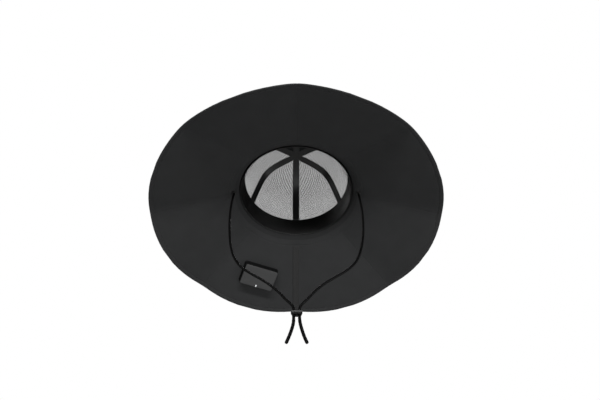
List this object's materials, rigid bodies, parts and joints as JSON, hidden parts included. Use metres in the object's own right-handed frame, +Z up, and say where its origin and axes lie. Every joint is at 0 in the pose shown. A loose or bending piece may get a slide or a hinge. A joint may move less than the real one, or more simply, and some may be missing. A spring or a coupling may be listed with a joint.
{
  "type": "solar panel hat",
  "caption": "Wide-brimmed sun hat with a see-through net crown, solar panels on a stiff faceted brim, a charging box under it and a chin cord with a spring lock.",
  "frame": {"origin": "centre of the head opening, level with the lower edge of the sweatband", "axes": "+Z up through the crown, -Y towards the front of the hat, +X towards the side that is on the right in a view from the front"},
  "size_m": [0.4698, 0.4698, 0.4275],
  "materials": {
    "brim_fabric": "closely woven charcoal cloth over a stiffener",
    "crown_fabric": "closely woven charcoal cloth",
    "net": "fine knitted see-through net",
    "sweatband_fabric": "smooth black satin-faced cloth",
    "tape": "flat woven tape",
    "solar_cell": "dark solar cells under a clear film",
    "box_plastic": "fine moulded grain",
    "light": "frosted white lens",
    "anchor_metal": "black coating",
    "cord": "round braided cord",
    "lock_plastic": "satin moulded black",
    "button_plastic": "satin moulded grey"
  },
  "bodies": {
    "hat": {"brim_collar": "brim_fabric", "crown_band": "crown_fabric", "sweatband": "sweatband_fabric", "brim_sector_1": "brim_fabric", "brim_sector_2": "brim_fabric", "brim_sector_3": "brim_fabric", "brim_sector_4": "brim_fabric", "brim_sector_5": "brim_fabric", "brim_sector_6": "brim_fabric", "brim_sector_7": "brim_fabric", "brim_sector_8": "brim_fabric", "mesh_panel_right": "net", "mesh_panel_rear_right": "net", "mesh_panel_rear_left": "net", "mesh_panel_left": "net", "front_panel_left": "crown_fabric", "front_panel_right": "crown_fabric", "seam_tape_rear_right": "tape", "seam_tape_rear": "tape", "seam_tape_rear_left": "tape", "seam_tape_front_left": "tape", "seam_tape_front": "tape", "seam_tape_front_right": "tape", "solar_panel_1": "solar_cell", "solar_panel_2": "solar_cell", "solar_panel_3": "solar_cell", "solar_panel_4": "solar_cell", "solar_panel_5": "solar_cell", "solar_panel_6": "solar_cell", "solar_panel_7": "solar_cell", "solar_panel_8": "solar_cell", "rear_brim_tape": "tape", "junction_box": "box_plastic", "status_light": "light", "cord_anchor_left": "anchor_metal", "cord_anchor_right": "anchor_metal", "cord_left": "cord", "cord_right": "cord", "lock_body": "lock_plastic"},
    "button": {"lock_button": "button_plastic"}
  },
  "joints": [
    {"name": "lock_button_press", "type": "slide", "parent": "hat", "child": "button", "axis": [0, 1, 0], "range_m": [0, 0.0012], "stiffness_N_per_m": 400, "springref_m": -0.002}
  ]
}
